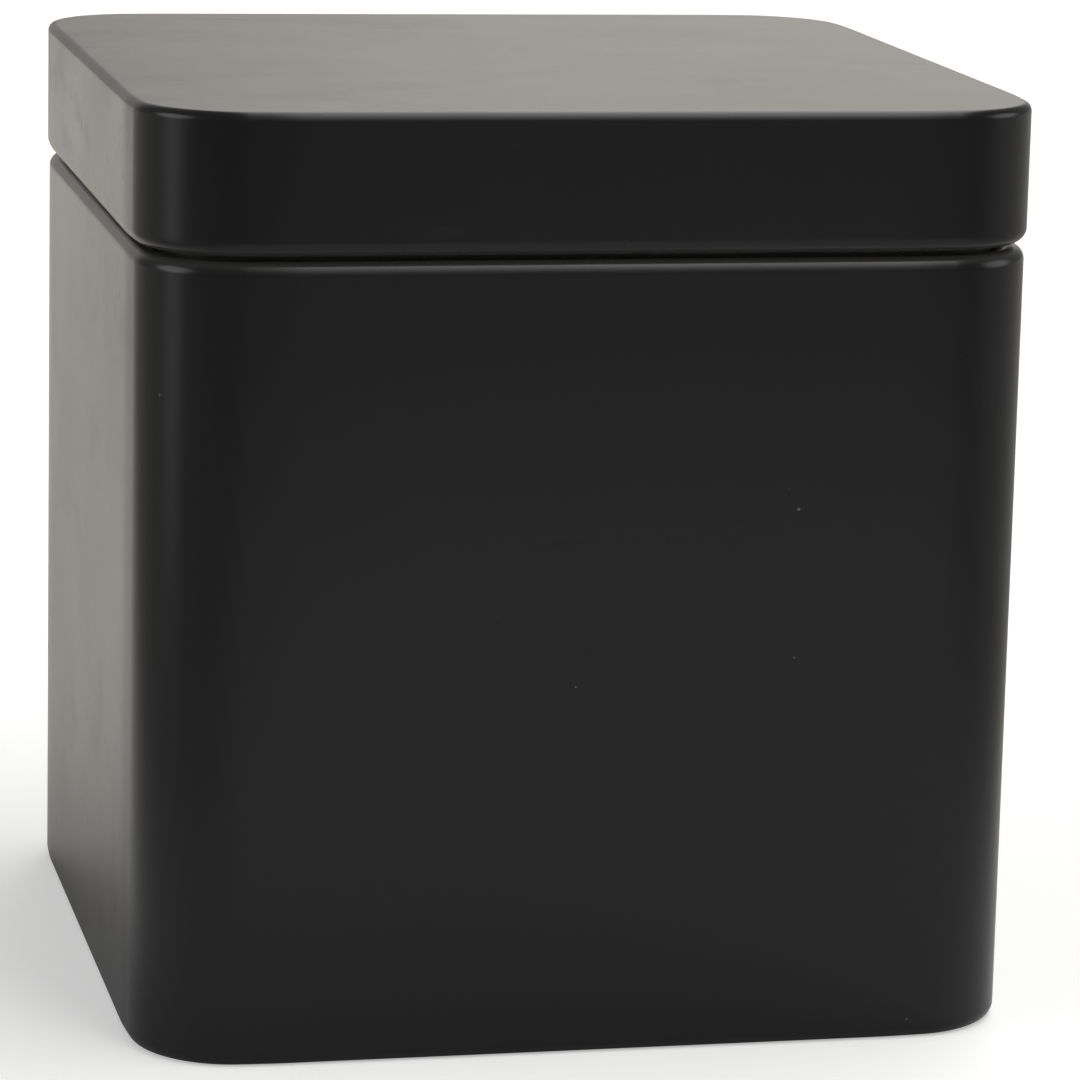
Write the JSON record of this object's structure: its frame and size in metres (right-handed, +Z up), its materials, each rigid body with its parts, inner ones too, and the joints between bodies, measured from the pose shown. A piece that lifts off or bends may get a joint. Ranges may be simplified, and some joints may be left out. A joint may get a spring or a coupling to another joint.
{
  "type": "storage tin",
  "caption": "Square tinplate storage tin with rounded corners and a lift-off slip lid that sits flush with the walls over an inner neck.",
  "frame": {"origin": "on the table under the middle of the closed tin", "axes": "+Z up, the way the lid lifts off; -Y faces the front, and the wall's lock seam is at the back, at +Y"},
  "size_m": [0.1004, 0.1004, 0.1047],
  "materials": {
    "lid_lacquer": "satin black lacquer",
    "body_lacquer": "satin black lacquer",
    "base_lacquer": "satin black lacquer",
    "bare_tinplate": "bare electrolytic tinplate with a fine rolled grain"
  },
  "bodies": {
    "body": {"body_wall": "body_lacquer", "base_panel": "base_lacquer", "inner_sleeve": "bare_tinplate"},
    "lid": {"lid": "lid_lacquer"}
  },
  "joints": [
    {"name": "lid_lift", "type": "slide", "parent": "body", "child": "lid", "axis": [0, 0, 1], "range_m": [0, 0.1]}
  ]
}
